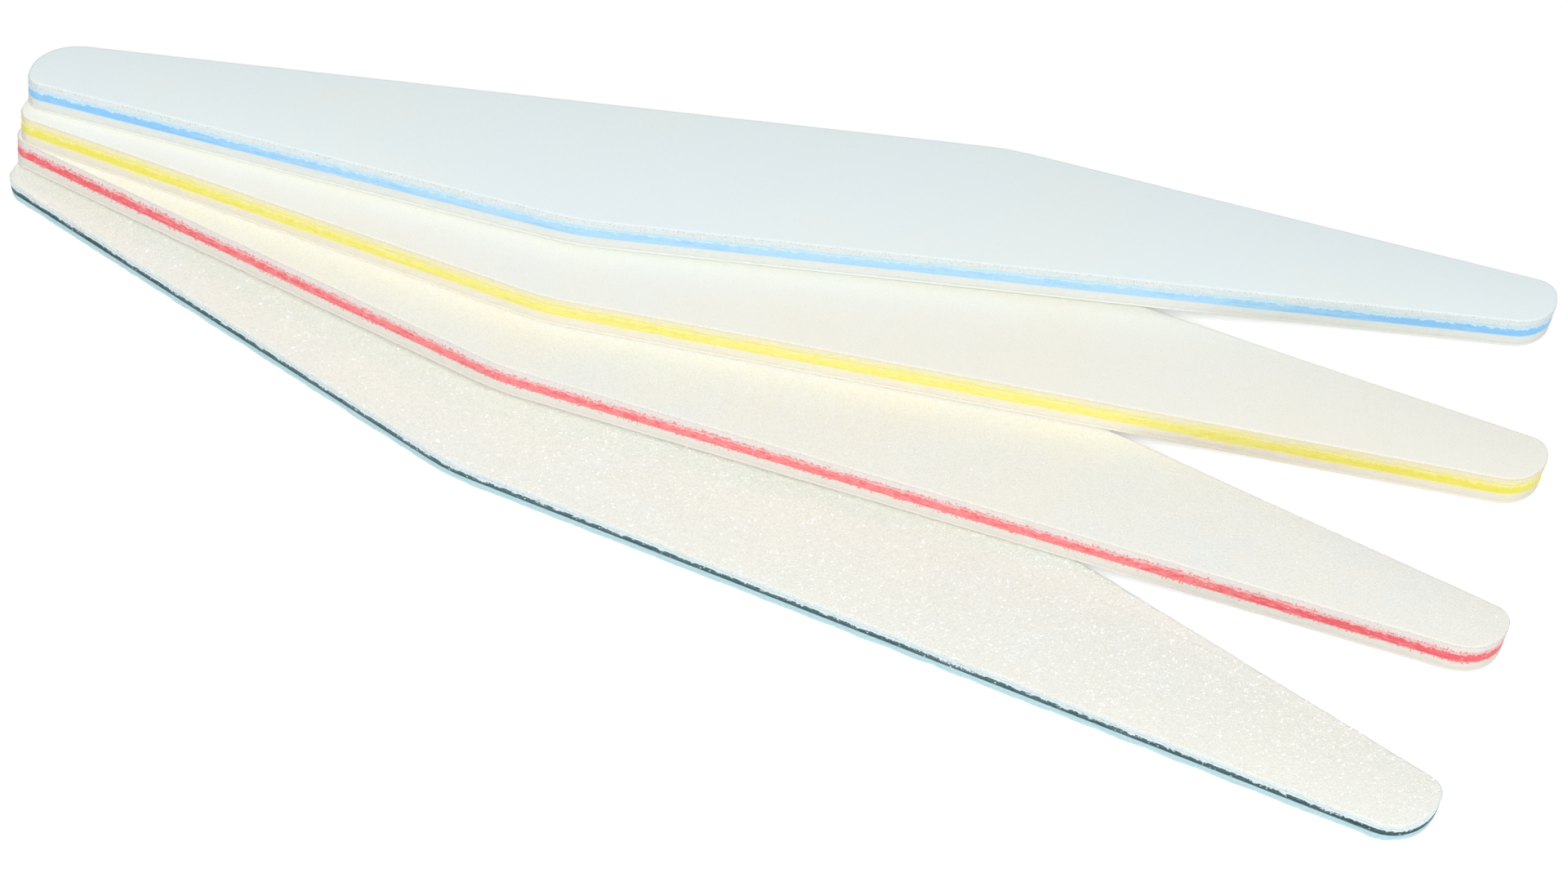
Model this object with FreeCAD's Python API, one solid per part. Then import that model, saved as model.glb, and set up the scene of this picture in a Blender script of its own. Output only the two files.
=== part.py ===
import FreeCAD, Part
import math
import os

# Set of four double-sided nail buffers, lying in a fanned stack, in millimetres.
# Each buffer is a glued sandwich of nine layers: abrasive sheet, adhesive film, foam pad,
# adhesive film and, in the middle, a stiff core board, then the same four layers again.
# The bottom buffer lies flat. Each other one leans on those below it and on the table.
# Frame: +X along the bottom buffer, +Z up, origin at the middle of its underside.

# --- the outline of every buffer, seen square to its face ---
FILE_LENGTH = 178.0          # tip to tip
CORNER_OFFSET = 24.0         # each soft corner, along the buffer from its middle
CORNER_REACH = 12.7          # each soft corner, sideways from the centre line
CORNER_RADIUS = 25.0
TIP_WIDTH = 7.7              # end edge before its corners are rounded
TIP_TIGHT_RADIUS = 2.1       # where the short, steep side meets the end edge
TIP_SOFT_RADIUS = 5.6        # where the long side meets it

# --- layers of the three foam buffers: red, yellow and blue core ---
FOAM_FILE_SHEET = 0.30       # abrasive sheet
FOAM_FILE_LOWER_FOAM = 1.16
FOAM_FILE_CORE = 1.10        # core board
FOAM_FILE_UPPER_FOAM = 0.76

# --- layers of the thin, coarse buffer at the bottom: black core ---
THIN_FILE_SHEET = 0.35
THIN_FILE_LOWER_FOAM = 0.83
THIN_FILE_CORE = 0.90
THIN_FILE_UPPER_FOAM = 0.49

# --- shared by all four ---
ADHESIVE_FILM = 0.06         # each glue layer
SHEET_RIM_ROUND = 0.20       # the die rolls the outer rim of each abrasive sheet
CONTACT_GAP = 0.03           # air left under a buffer where it leans

# --- how the buffers are fanned: middle in X and Y, and turn about Z in degrees ---
RED_FILE_X = -0.6
RED_FILE_Y = 11.9
RED_FILE_TURN = 6.5
YELLOW_FILE_X = -2.5
YELLOW_FILE_Y = 24.3
YELLOW_FILE_TURN = 14.4
BLUE_FILE_X = -6.2
BLUE_FILE_Y = 36.4
BLUE_FILE_TURN = 21.0

# --- how closely the resting places are worked out ---
SAME_HEIGHT = 1e-6           # two heights this close are one
POINTS_PER_EDGE = 5
SETTLING_PASSES = 4

UP = FreeCAD.Vector(0, 0, 1)


def corner_turn(before, corner, after):
    """The unit directions from a corner to its neighbours, and the angle between them."""
    to_before = (before - corner).normalize()
    to_after = (after - corner).normalize()
    return to_before, to_after, to_before.getAngle(to_after)


def corner_arc(before, corner, after, radius):
    """The arc that rounds one corner, and its two tangent points."""
    to_before, to_after, angle = corner_turn(before, corner, after)
    tangent = radius / math.tan(angle / 2)
    start = corner + to_before * tangent
    end = corner + to_after * tangent
    bisector = (to_before + to_after).normalize()
    middle = corner + bisector * (radius / math.sin(angle / 2) - radius)
    return start, Part.Arc(start, middle, end).toShape(), end


def rounded_face(corners, radii):
    """A flat face on Z = 0 whose straight edges are joined by arcs."""
    arcs = []
    for index, corner in enumerate(corners):
        before = corners[index - 1]
        after = corners[(index + 1) % len(corners)]
        arcs.append(corner_arc(before, corner, after, radii[index]))
    edges = []
    for index, (start, arc, end) in enumerate(arcs):
        next_start = arcs[(index + 1) % len(arcs)][0]
        edges.append(arc)
        edges.append(Part.LineSegment(end, next_start).toShape())
    return Part.Face(Part.Wire(edges))


def buffer_face():
    """A buffer's outline: half a turn about its middle brings it onto itself."""
    half = FILE_LENGTH / 2
    tip = TIP_WIDTH / 2
    left_half = [(-half, -tip), (-CORNER_OFFSET, -CORNER_REACH), (half, -tip)]
    right_half = [(-x, -y) for x, y in left_half]
    corners = [FreeCAD.Vector(x, y, 0) for x, y in left_half + right_half]
    fitting = min(1.0, TIP_WIDTH / (TIP_TIGHT_RADIUS + TIP_SOFT_RADIUS))
    radii = [TIP_TIGHT_RADIUS * fitting, CORNER_RADIUS, TIP_SOFT_RADIUS * fitting]
    return rounded_face(corners, radii * 2)


def layer(face, bottom, thickness):
    """A flat layer of a given thickness that starts at height bottom."""
    solid = face.extrude(FreeCAD.Vector(0, 0, thickness))
    solid.translate(FreeCAD.Vector(0, 0, bottom))
    return solid


def round_rim(sheet, height):
    """Round the rim of an abrasive sheet that lies at one height."""
    rim = [edge for edge in sheet.Edges
           if abs(edge.BoundBox.ZMin - height) < SAME_HEIGHT
           and abs(edge.BoundBox.ZMax - height) < SAME_HEIGHT]
    thickness = sheet.BoundBox.ZLength
    return sheet.makeFillet(min(SHEET_RIM_ROUND, 0.9 * thickness), rim)


def sandwich(face, sheet, lower_foam, core, upper_foam):
    """The nine layers of one buffer on Z = 0, by name, and its whole thickness."""
    stack = [
        ("lower_abrasive_sheet", sheet),
        ("lower_face_film", ADHESIVE_FILM),
        ("lower_foam_pad", lower_foam),
        ("lower_core_film", ADHESIVE_FILM),
        ("core_board", core),
        ("upper_core_film", ADHESIVE_FILM),
        ("upper_foam_pad", upper_foam),
        ("upper_face_film", ADHESIVE_FILM),
        ("upper_abrasive_sheet", sheet),
    ]
    layers = {}
    height = 0.0
    for name, thickness in stack:
        layers[name] = layer(face, height, thickness)
        height += thickness
    layers["lower_abrasive_sheet"] = round_rim(layers["lower_abrasive_sheet"], 0.0)
    layers["upper_abrasive_sheet"] = round_rim(layers["upper_abrasive_sheet"], height)
    return layers, height


def rim_points(edges):
    """Points along some edges, close enough together to stand for them."""
    return [point for edge in edges for point in edge.discretize(POINTS_PER_EDGE)]


def shares(trio, middle):
    """The share of a weight at the middle that each of three supports carries."""
    first, second, third = [FreeCAD.Vector(p.x - middle.x, p.y - middle.y, 0) for p in trio]
    parts = [second.cross(third).z, third.cross(first).z, first.cross(second).z]
    return [part / sum(parts) for part in parts]


def plane_normal(trio):
    """The upward normal of the plane through three points."""
    normal = (trio[1] - trio[0]).cross(trio[2] - trio[0]).normalize()
    return normal if normal.z > 0 else normal * -1


def resting_trio(trio, supports, middle):
    """The three supports that a flat underside comes to rest on.

    It starts on three supports around its middle. While another support stands above that
    plane, it takes the place of the one that leaves the middle between the three.
    """
    while True:
        normal = plane_normal(trio)
        highest = max(supports, key=lambda point: (point - trio[0]).dot(normal))
        if (highest - trio[0]).dot(normal) < SAME_HEIGHT:
            return trio
        swaps = [trio[:index] + [highest] + trio[index + 1:] for index in range(3)]
        trio = max(swaps, key=lambda swap: min(shares(swap, middle)))


def lying_on(trio, middle, turn, thickness):
    """The placement of a buffer whose underside lies in the plane of three points."""
    normal = plane_normal(trio)
    heading = FreeCAD.Vector(math.cos(math.radians(turn)), math.sin(math.radians(turn)), 0)
    along = (heading - UP * (heading.dot(normal) / normal.z)).normalize()
    underside = middle - normal * (thickness / 2)
    rise = (trio[0] - underside).dot(normal) / normal.z
    base = underside + UP * (rise + CONTACT_GAP)
    return FreeCAD.Placement(base, FreeCAD.Rotation(along, normal.cross(along), normal, "ZXY"))


def settle(face, thickness, x, y, turn, tops):
    """The placement of a buffer that leans on the table and on the faces in tops."""
    middle = FreeCAD.Vector(x, y, 0)
    place = FreeCAD.Placement(middle, FreeCAD.Rotation(UP, turn))
    tall = UP * FILE_LENGTH
    for _ in range(SETTLING_PASSES):
        underside = face.copy()
        underside.Placement = place
        outline = rim_points(underside.Edges)
        table = [FreeCAD.Vector(point.x, point.y, 0) for point in outline]
        column = underside.translated(tall * -1).extrude(tall * 2)
        supports = table + [p for top in tops for p in rim_points(column.common(top).Edges)]
        third = len(table) // 3
        trio = resting_trio([table[0], table[third], table[2 * third]], supports, middle)
        place = lying_on(trio, middle, turn, thickness)
    return place


def top_face(face, thickness, place):
    """The upper face of a placed buffer."""
    top = face.translated(UP * thickness)
    top.Placement = place.multiply(top.Placement)
    return top


def write_buffer(colour, layers, place):
    """Place one buffer's layers and write each to its own file."""
    for name, solid in layers.items():
        placed = solid.copy()
        placed.Placement = place.multiply(placed.Placement)
        placed.exportStep(f"parts/{colour}_{name}.step")


os.makedirs("parts", exist_ok=True)

outline_face = buffer_face()
thin_layers, thin_thickness = sandwich(outline_face, THIN_FILE_SHEET, THIN_FILE_LOWER_FOAM,
                                       THIN_FILE_CORE, THIN_FILE_UPPER_FOAM)
foam_layers, foam_thickness = sandwich(outline_face, FOAM_FILE_SHEET, FOAM_FILE_LOWER_FOAM,
                                       FOAM_FILE_CORE, FOAM_FILE_UPPER_FOAM)

black_place = FreeCAD.Placement()
write_buffer("black", thin_layers, black_place)
tops = [top_face(outline_face, thin_thickness, black_place)]

fan = [("red", RED_FILE_X, RED_FILE_Y, RED_FILE_TURN),
       ("yellow", YELLOW_FILE_X, YELLOW_FILE_Y, YELLOW_FILE_TURN),
       ("blue", BLUE_FILE_X, BLUE_FILE_Y, BLUE_FILE_TURN)]
for colour, x, y, turn in fan:
    place = settle(outline_face, foam_thickness, x, y, turn, tops)
    write_buffer(colour, foam_layers, place)
    tops.append(top_face(outline_face, foam_thickness, place))
    normal = place.Rotation.multVec(UP)
    print(colour, "underside middle", place.Base, "leans", round(math.degrees(normal.getAngle(UP)), 2))
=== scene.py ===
# %% [markdown]
# # Four double-sided nail buffers, fanned out
# The real thing is a set of four slim nail buffers lying on each other like a hand of cards. Each
# buffer is a sandwich: a dyed plastic board in the middle, a foam pad glued above and below it, and
# an abrasive sheet on each outside. A steel-rule die cuts all the layers in one stroke, so the look
# of the set is mostly the look of that cut: porous foam, scored plastic and dye dragged over the
# foam. The CAD model gives every size and place. This file adds the surface to it.

import math

import bmesh
import bpy
import numpy as np
from mathutils import Matrix, Vector


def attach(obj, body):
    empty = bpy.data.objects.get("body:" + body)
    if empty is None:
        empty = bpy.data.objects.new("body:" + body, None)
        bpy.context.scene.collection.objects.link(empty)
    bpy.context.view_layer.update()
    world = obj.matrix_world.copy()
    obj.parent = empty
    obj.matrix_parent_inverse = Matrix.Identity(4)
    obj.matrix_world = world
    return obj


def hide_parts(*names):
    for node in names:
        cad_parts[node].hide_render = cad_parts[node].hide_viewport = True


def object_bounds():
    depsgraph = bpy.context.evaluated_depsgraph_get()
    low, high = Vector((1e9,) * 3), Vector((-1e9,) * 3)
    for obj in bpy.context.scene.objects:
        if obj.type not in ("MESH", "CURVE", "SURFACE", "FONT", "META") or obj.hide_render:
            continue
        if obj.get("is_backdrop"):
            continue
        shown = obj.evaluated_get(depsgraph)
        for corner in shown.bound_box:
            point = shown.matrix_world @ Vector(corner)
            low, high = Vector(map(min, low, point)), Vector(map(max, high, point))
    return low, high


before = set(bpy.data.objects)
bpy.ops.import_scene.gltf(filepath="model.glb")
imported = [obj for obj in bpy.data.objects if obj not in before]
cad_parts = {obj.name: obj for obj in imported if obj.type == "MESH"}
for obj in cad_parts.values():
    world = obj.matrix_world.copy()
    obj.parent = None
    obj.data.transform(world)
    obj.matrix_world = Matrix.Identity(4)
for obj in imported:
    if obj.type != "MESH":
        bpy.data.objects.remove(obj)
cad_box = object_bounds()
COLOURS = ["black", "red", "yellow", "blue"]
MM = 0.001

# %% [markdown]
# ## Camera
# A product picture of something this flat is taken from above one corner, with a long lens so that
# the tips don't bulge. We give the camera as a photographer would describe it: how far round the
# table, how high, how far away, and how much the camera is tilted in the hand. From the first two
# come the three directions of its matrix, and the tilt is one more turn about its own line of sight.

# %% Camera
CAMERA_AZIMUTH = math.radians(23.85)
CAMERA_ELEVATION = math.radians(55.27)
CAMERA_TILT = math.radians(4.75)
CAMERA_DISTANCE = 401.4 * MM
CAMERA_TARGET = Vector((6.35, 10.16, 0.0)) * MM
CAMERA_LENS = 81.77

towards_camera = Vector((
    math.sin(CAMERA_AZIMUTH) * math.cos(CAMERA_ELEVATION),
    -math.cos(CAMERA_AZIMUTH) * math.cos(CAMERA_ELEVATION),
    math.sin(CAMERA_ELEVATION),
))
camera_right = Vector((math.cos(CAMERA_AZIMUTH), math.sin(CAMERA_AZIMUTH), 0.0))
camera_up = towards_camera.cross(camera_right)
camera_turn = Matrix((camera_right, camera_up, towards_camera)).transposed()
camera_turn = camera_turn @ Matrix.Rotation(CAMERA_TILT, 3, "Z")

camera = bpy.data.objects.new("camera", bpy.data.cameras.new("camera"))
camera.data.lens = CAMERA_LENS
camera.data.sensor_width = 36.0
camera.data.clip_start = 0.01
camera.matrix_world = (Matrix.Translation(CAMERA_TARGET + towards_camera * CAMERA_DISTANCE)
                       @ camera_turn.to_4x4())
bpy.context.scene.collection.objects.link(camera)
bpy.context.scene.camera = camera
print("camera stands at", [round(x, 4) for x in camera.matrix_world.translation])

# %% [markdown]
# ## Colours and nodes
# Colours are written as on a paint chart, in sRGB hex, but a renderer adds light in linear values,
# so one function converts them. Every material below is a web of nodes, and adding a node by hand
# takes three or four lines. One helper does it: it makes the node, sets its options, and fills each
# input with a value or with a link from another node.

# %% One converter and one node helper
def linear(hex_colour):
    """An sRGB hex colour as the linear red, green, blue and alpha that Blender works in."""
    channels = [int(hex_colour[i:i + 2], 16) / 255 for i in (0, 2, 4)]
    channels = [c / 12.92 if c <= 0.04045 else ((c + 0.055) / 1.055) ** 2.4 for c in channels]
    return (*channels, 1.0)


# The kinds of node that come up again and again, and the option for a Map Range that eases in and out
MATH = "ShaderNodeMath"
VECTOR_MATH = "ShaderNodeVectorMath"
MAP_RANGE = "ShaderNodeMapRange"
MIX = "ShaderNodeMix"
NOISE = "ShaderNodeTexNoise"
VORONOI = "ShaderNodeTexVoronoi"
SMOOTH = {"interpolation_type": "SMOOTHSTEP"}


def add(tree, kind, inputs=None, **options):
    """Add a node. An input is named or numbered, and takes a value, a socket or another node.

    Another node stands for its first output.
    """
    node = tree.nodes.new(kind)
    for option, value in options.items():
        setattr(node, option, value)
    for key, value in (inputs or {}).items():
        source = value.outputs[0] if isinstance(value, bpy.types.Node) else value
        if isinstance(source, bpy.types.NodeSocket):
            tree.links.new(source, node.inputs[key])
        else:
            node.inputs[key].default_value = source
    return node


print("mid grey 808080 is", [round(c, 4) for c in linear("808080")])

# %% [markdown]
# ## Floor and light
# A white product picture has no visible horizon. The floor is a wide matt sheet, and the backdrop is
# the world itself. To get clean white without burning out the pale foam, the extra brightness goes
# only to rays that come straight from the camera or from a reflection: the Light Path node tells
# them apart. The light on the object stays at a plain level. Most of it comes from a ring light
# round the camera's line of sight, so its shadows fall where the camera can't see them and the cut
# edges stay bright. A weak soft box over the far left gives the rims their shape and lays a faint
# shadow in front of each buffer.

# %% World, floor and lamps
scene = bpy.context.scene
scene.view_settings.view_transform = "Standard"

LIGHT_FROM_WORLD = 0.36
world = bpy.data.worlds.new("studio")
scene.world = world
world.use_nodes = True
sky_tree = world.node_tree
sky_tree.nodes.clear()


def seen_directly(tree):
    """1 for camera, mirror and see-through rays, and 0 for the rays that only carry light."""
    path = add(tree, "ShaderNodeLightPath")
    mirror = add(tree, MATH, {0: path.outputs["Is Camera Ray"], 1: path.outputs["Is Glossy Ray"]},
                 operation="MAXIMUM")
    return add(tree, MATH, {0: mirror, 1: path.outputs["Is Transmission Ray"]}, operation="MAXIMUM")


level = add(sky_tree, MAP_RANGE, {"Value": seen_directly(sky_tree), "To Min": LIGHT_FROM_WORLD})
sky = add(sky_tree, "ShaderNodeBackground", {"Color": linear("FFFFFF"), "Strength": level})
add(sky_tree, "ShaderNodeOutputWorld", {"Surface": sky})

FLOOR_LIFT = 0.30        # extra white on the sheet near the object
FAR_FLOOR_LIFT = 0.75    # and far from it
NEAR_FLOOR = 0.2         # metres from the origin
FAR_FLOOR = 0.8
floor_paper = bpy.data.materials.new("matt_white_seamless_paper")
floor_paper.use_nodes = True
paper_tree = floor_paper.node_tree
paper_tree.nodes.clear()
paper_tone = add(paper_tree, "ShaderNodeBsdfDiffuse", {"Color": linear("F6F6F6")})
# Away from the object, where no lamp reaches, the sheet is lifted more, up to backdrop white.
paper_place = add(paper_tree, "ShaderNodeTexCoord")
paper_distance = add(paper_tree, VECTOR_MATH, {0: paper_place.outputs["Object"]}, operation="LENGTH")
lift_here = add(paper_tree, MAP_RANGE,
                {"Value": paper_distance.outputs["Value"], "From Min": NEAR_FLOOR,
                 "From Max": FAR_FLOOR, "To Min": FLOOR_LIFT, "To Max": FAR_FLOOR_LIFT}, **SMOOTH)
paper_lift = add(paper_tree, MATH, {0: seen_directly(paper_tree), 1: lift_here}, operation="MULTIPLY")
paper_glow = add(paper_tree, "ShaderNodeEmission", {"Color": linear("FFFFFF"), "Strength": paper_lift})
paper = add(paper_tree, "ShaderNodeAddShader", {0: paper_tone, 1: paper_glow})
add(paper_tree, "ShaderNodeOutputMaterial", {"Surface": paper})

FLOOR_HALF = 1.6
FLOOR_GAP = 0.02 * MM
floor_mesh = bpy.data.meshes.new("floor")
floor_mesh.from_pydata(
    [(x * FLOOR_HALF, y * FLOOR_HALF, -FLOOR_GAP) for x, y in ((-1, -1), (1, -1), (1, 1), (-1, 1))],
    [], [(0, 1, 2, 3)])
floor_mesh.materials.append(floor_paper)
floor = bpy.data.objects.new("floor", floor_mesh)
scene.collection.objects.link(floor)
floor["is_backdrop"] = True

LAMPS = [
    # name, place in metres, watts, side of the square in metres
    ("ring_light_round_camera", (0.27, -0.43, 0.72), 5.75, 0.28),
    ("soft_box_far_left", (-0.50, 0.30, 0.70), 0.35, 0.7),
]
for name, place, watts, side in LAMPS:
    lamp = bpy.data.objects.new(name, bpy.data.lights.new(name, "AREA"))
    lamp.data.energy = watts
    lamp.data.size = side
    lamp.location = place
    lamp.rotation_mode = "QUATERNION"
    lamp.rotation_quaternion = (CAMERA_TARGET - Vector(place)).to_track_quat("-Z", "Y")
    scene.collection.objects.link(lamp)
print("lamps:", [(name, watts) for name, place, watts, side in LAMPS])

# %% [markdown]
# ## Where each buffer lies
# The buffers lean on each other, so none but the bottom one is square to the table. To model on a
# leaning buffer we want its own axes: along it, across it and up through its layers. They are all in
# the CAD mesh. The core board's largest flat face gives the up direction and the outline, and the
# outline's long axis gives the direction along it. The outline is then walked at even steps, because
# a cut edge needs points close enough together to carry pores.

# %% Axes and outline of each buffer
EDGE_STEP = 0.16                     # mm between the points of an outline
SMOOTHING_PASSES = 3
WELD = 1e-6                          # metres
SAME_PLANE = math.radians(0.5)


def flat_outline(node):
    """The corners of a flat CAD slab's upper face, anticlockwise, and the face's normal."""
    slab = bmesh.new()
    slab.from_mesh(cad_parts[node].data)
    bmesh.ops.remove_doubles(slab, verts=slab.verts, dist=WELD)
    bmesh.ops.dissolve_limit(slab, angle_limit=SAME_PLANE, verts=slab.verts, edges=slab.edges)
    top = max((f for f in slab.faces if f.normal.z > 0.5), key=lambda f: f.calc_area())
    corners = np.array([corner.co for corner in top.verts])
    normal = np.array(top.normal)
    slab.free()
    return corners, normal


def even_steps(corners, step):
    """Points along a closed outline at even steps, with each sharp facet joint smoothed a little."""
    closed = np.vstack([corners, corners[:1]])
    reached = np.concatenate([[0.0], np.cumsum(np.linalg.norm(np.diff(closed, axis=0), axis=1))])
    count = int(round(reached[-1] / step))
    stations = np.arange(count) * reached[-1] / count
    walked = np.stack([np.interp(stations, reached, closed[:, k]) for k in range(2)], axis=1)
    for _ in range(SMOOTHING_PASSES):
        walked = (np.roll(walked, 1, axis=0) + 2 * walked + np.roll(walked, -1, axis=0)) / 4
    return walked


def buffer_axes(colour):
    """The axes, origin and outline of one buffer. The origin is under its middle, in metres."""
    corners, up = flat_outline(f"{colour}_core_board")
    middle = (corners.min(0) + corners.max(0)) / 2
    offsets = corners - middle
    # A guess at the long axis comes first, and then the spread of the outline corrects it.
    across_guess = np.cross(up, (1.0, 0.0, 0.0))
    across_guess /= np.linalg.norm(across_guess)
    along_guess = np.cross(across_guess, up)
    guess = np.stack([offsets @ along_guess, offsets @ across_guess], axis=1) / MM
    walked = even_steps(guess, EDGE_STEP)
    directions = np.linalg.eigh(np.cov(walked.T))[1]
    long_axis = directions[:, 1] * np.sign(directions[0, 1])
    along = along_guess * long_axis[0] + across_guess * long_axis[1]
    across = np.cross(up, along)
    corners_2d = np.stack([offsets @ along, offsets @ across], axis=1) / MM
    outline = even_steps(corners_2d, EDGE_STEP)
    all_layers = np.array([vertex.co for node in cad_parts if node.startswith(colour)
                           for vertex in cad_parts[node].data.vertices])
    lowest = ((all_layers - middle) @ up).min()
    return {"along": along, "across": across, "up": up, "origin": middle + up * lowest,
            "outline": outline}


buffers = {colour: buffer_axes(colour) for colour in COLOURS}
for colour, axes in buffers.items():
    lean = math.degrees(math.acos(axes["up"][2]))
    print(colour, "outline points", len(axes["outline"]), "leans", round(lean, 2), "degrees")

# %% [markdown]
# ## Thickness of each layer
# With the axes known, a layer's lowest and highest point along the up axis are its two faces. The
# numbers are in millimetres above the buffer's own underside, and every piece below uses them.

# %% Heights of the layers
def layer_heights(colour, layer):
    """The lower and upper face of one CAD layer, in millimetres above the buffer's underside."""
    axes = buffers[colour]
    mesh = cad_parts[f"{colour}_{layer}"].data
    heights = (np.array([v.co for v in mesh.vertices]) - axes["origin"]) @ axes["up"] / MM
    return float(heights.min()), float(heights.max())


for colour in COLOURS:
    print(colour, "core board from %.2f to %.2f mm" % layer_heights(colour, "core_board"),
          "of %.2f mm" % layer_heights(colour, "upper_abrasive_sheet")[1])

# %% [markdown]
# ## One way to make every layer
# All the layers are slices of the same prism, so one function makes them. It takes a profile, the
# shape that the cut edge would show if you looked along it, as pairs of inset and height. It sets a
# ring of points for each pair and closes the prism with a flat face at each end. A plain extrusion
# would do the same for a straight edge, but a profile can also roll a rim over or bulge a foam pad.

# %% Layer from a profile
SHARP_FROM = math.radians(50)


def inward_normals(outline):
    """The direction into the outline at each of its points."""
    tangent = np.roll(outline, -1, axis=0) - np.roll(outline, 1, axis=0)
    tangent /= np.linalg.norm(tangent, axis=1)[:, None]
    return np.stack([-tangent[:, 1], tangent[:, 0]], axis=1)


def make_layer(name, colour, profile, cut_rows):
    """A closed layer. Rows numbered in cut_rows are free to be roughened later."""
    axes = buffers[colour]
    outline = axes["outline"]
    inward = inward_normals(outline)
    count = len(outline)
    points = []
    for inset, height in profile:
        ring = outline + inward * inset
        points.append(axes["origin"] + MM * (ring[:, :1] * axes["along"] + ring[:, 1:] * axes["across"]
                                             + height * axes["up"]))
    ahead = [(j + 1) % count for j in range(count)]
    faces = [tuple(reversed(range(count)))]
    for row in range(len(profile) - 1):
        low, high = row * count, (row + 1) * count
        faces += [(low + j, low + ahead[j], high + ahead[j], high + j) for j in range(count)]
    faces.append(tuple(range((len(profile) - 1) * count, len(profile) * count)))
    mesh = bpy.data.meshes.new(name)
    mesh.from_pydata(np.vstack(points).tolist(), [], faces)
    mesh.polygons.foreach_set("use_smooth", [True] * len(mesh.polygons))
    mesh.set_sharp_from_angle(angle=SHARP_FROM)
    cut = mesh.attributes.new("cut", "FLOAT", "POINT")
    cut.data.foreach_set("value", np.repeat([float(row in cut_rows) for row in range(len(profile))],
                                            count))
    piece = bpy.data.objects.new(name, mesh)
    scene.collection.objects.link(piece)
    return piece


print("a layer with 8 rows has", 8 * len(buffers["blue"]["outline"]), "points")

# %% [markdown]
# ## Running a node tree on a piece
# Geometry Nodes are a good tool for anything that repeats by the thousand, like pores and grit.
# Each tree is written once, with named inputs for its sizes. To use it on a piece we add it as a
# modifier, fill its inputs, let Blender evaluate it, and keep the result as a plain mesh.

# %% Helpers for Geometry Nodes
def new_tree(name, inputs):
    """A Geometry Nodes tree with a geometry input and output, and named inputs of given kinds."""
    tree = bpy.data.node_groups.new(name, "GeometryNodeTree")
    tree.interface.new_socket("Geometry", in_out="INPUT", socket_type="NodeSocketGeometry")
    for label, kind in inputs.items():
        tree.interface.new_socket(label, in_out="INPUT", socket_type="NodeSocket" + kind)
    tree.interface.new_socket("Geometry", in_out="OUTPUT", socket_type="NodeSocketGeometry")
    return tree


def run_tree(piece, tree, values):
    """Run a tree on a piece with the given input values, and keep what it makes."""
    modifier = piece.modifiers.new(tree.name, "NODES")
    modifier.node_group = tree
    for item in tree.interface.items_tree:
        if item.in_out == "INPUT" and item.name in values:
            modifier[item.identifier] = values[item.name]
    graph = bpy.context.evaluated_depsgraph_get()
    made = bpy.data.meshes.new_from_object(piece.evaluated_get(graph), depsgraph=graph)
    piece.modifiers.clear()
    old = piece.data
    piece.data = made
    made.name = piece.name
    bpy.data.meshes.remove(old)


print("node trees made so far:", len(bpy.data.node_groups))

# %% [markdown]
# ## The cut edge
# Foam is a froth of gas bubbles. A blade slices them open, and each open bubble is a small pit in
# the wall. On the plastic board the same blade leaves fine scores that run with its stroke, from
# face to face. Both are the same idea, a pattern pressed into the wall, with cells as tall as they
# are wide for foam and drawn out tall for the board. A displacement in the material would hardly
# survive an export, so the pits are real: this tree moves the wall's points inwards. It also lets
# the whole edge wander a little, as a blade does in soft foam.

# %% Geometry Nodes tree that roughens a cut edge
CUT = {
    # cell width, cell height and pit depth in mm
    "foam": (0.24, 0.24, 0.09),
    "board": (0.5, 2.2, 0.04),
    "sheet": (0.35, 0.35, 0.02),
}
# How far the blade wanders into the edge, in mm: furthest on the thin buffer, which gives way
WANDER = {"black": 0.15, "red": 0.05, "yellow": 0.04, "blue": 0.04}

cut_tree = new_tree("cut_edge", {
    "Cell Width": "Float",
    "Cell Height": "Float",
    "Pit Depth": "Float",
    "Wander": "Float",
    "Up": "Vector",
    "Surface": "Material",
})
cut_in = add(cut_tree, "NodeGroupInput")
where = add(cut_tree, "GeometryNodeInputPosition")
height_of = add(cut_tree, VECTOR_MATH, {0: where, 1: cut_in.outputs["Up"]}, operation="DOT_PRODUCT")
height_part = add(cut_tree, VECTOR_MATH, {0: cut_in.outputs["Up"], "Scale": height_of.outputs["Value"]},
                  operation="SCALE")
level_part = add(cut_tree, VECTOR_MATH, {0: where, 1: height_part}, operation="SUBTRACT")
wide_scale = add(cut_tree, MATH, {0: 1.0, 1: cut_in.outputs["Cell Width"]}, operation="DIVIDE")
tall_scale = add(cut_tree, MATH, {0: 1.0, 1: cut_in.outputs["Cell Height"]}, operation="DIVIDE")
wide = add(cut_tree, VECTOR_MATH, {0: level_part, "Scale": wide_scale}, operation="SCALE")
tall = add(cut_tree, VECTOR_MATH, {0: height_part, "Scale": tall_scale}, operation="SCALE")
cell_space = add(cut_tree, VECTOR_MATH, {0: wide, 1: tall}, operation="ADD")
cells = add(cut_tree, VORONOI, {"Vector": cell_space, "Scale": 1.0})
# A bubble is deepest at its middle and ends at a rim, so the distance is turned over and clipped.
pit = add(cut_tree, MAP_RANGE,
          {"Value": cells.outputs["Distance"], "From Min": 0.25, "From Max": 0.62, "To Min": 1.0,
           "To Max": 0.0}, **SMOOTH)
# Foam isn't even: some cells stay shut. A slower noise chooses which.
patchy = add(cut_tree, NOISE, {"Vector": cell_space, "Scale": 0.45, "Detail": 2.0})
open_share = add(cut_tree, MAP_RANGE, {"Value": patchy, "From Min": 0.40, "From Max": 0.60}, **SMOOTH)
pit_open = add(cut_tree, MATH, {0: pit, 1: open_share}, operation="MULTIPLY")
pit_deep = add(cut_tree, MATH, {0: pit_open, 1: cut_in.outputs["Pit Depth"]}, operation="MULTIPLY")
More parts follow.
